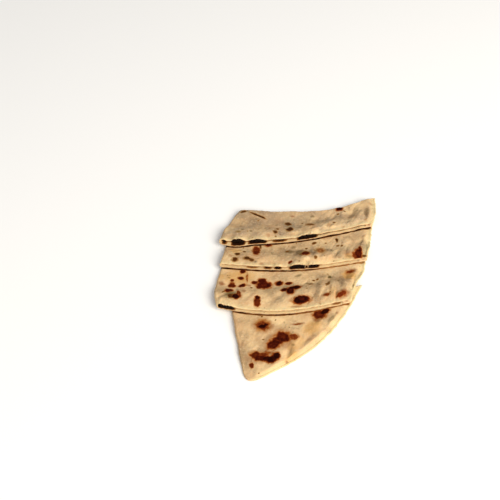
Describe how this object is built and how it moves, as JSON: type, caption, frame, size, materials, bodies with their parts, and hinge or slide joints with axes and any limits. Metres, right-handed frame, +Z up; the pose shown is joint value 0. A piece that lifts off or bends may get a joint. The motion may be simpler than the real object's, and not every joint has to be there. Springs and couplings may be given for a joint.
{
  "type": "cut gozleme",
  "caption": "Thin folded flatbread with a dark leaf filling between its layers, toasted in spots and cut across into overlapping strips that keep its half-moon shape.",
  "frame": {"origin": "middle of the footprint, on the surface that the bread lies on", "axes": "+Z up, out of the bread's browned upper side; +Y from the rounded tip to the last cut; +X from the folded edge to the pressed rim"},
  "size_m": [0.1577, 0.2106, 0.012],
  "materials": {
    "baked_dough": "matt, pale cream dough with small dark toasted spots",
    "leaf_filling": "moist, near-black cooked leaves"
  },
  "bodies": {
    "root": {"strip_1_dough": "baked_dough", "strip_1_filling": "leaf_filling", "strip_2_dough": "baked_dough", "strip_2_filling": "leaf_filling", "strip_3_dough": "baked_dough", "strip_3_filling": "leaf_filling", "strip_4_dough": "baked_dough", "strip_4_filling": "leaf_filling"}
  },
  "joints": []
}
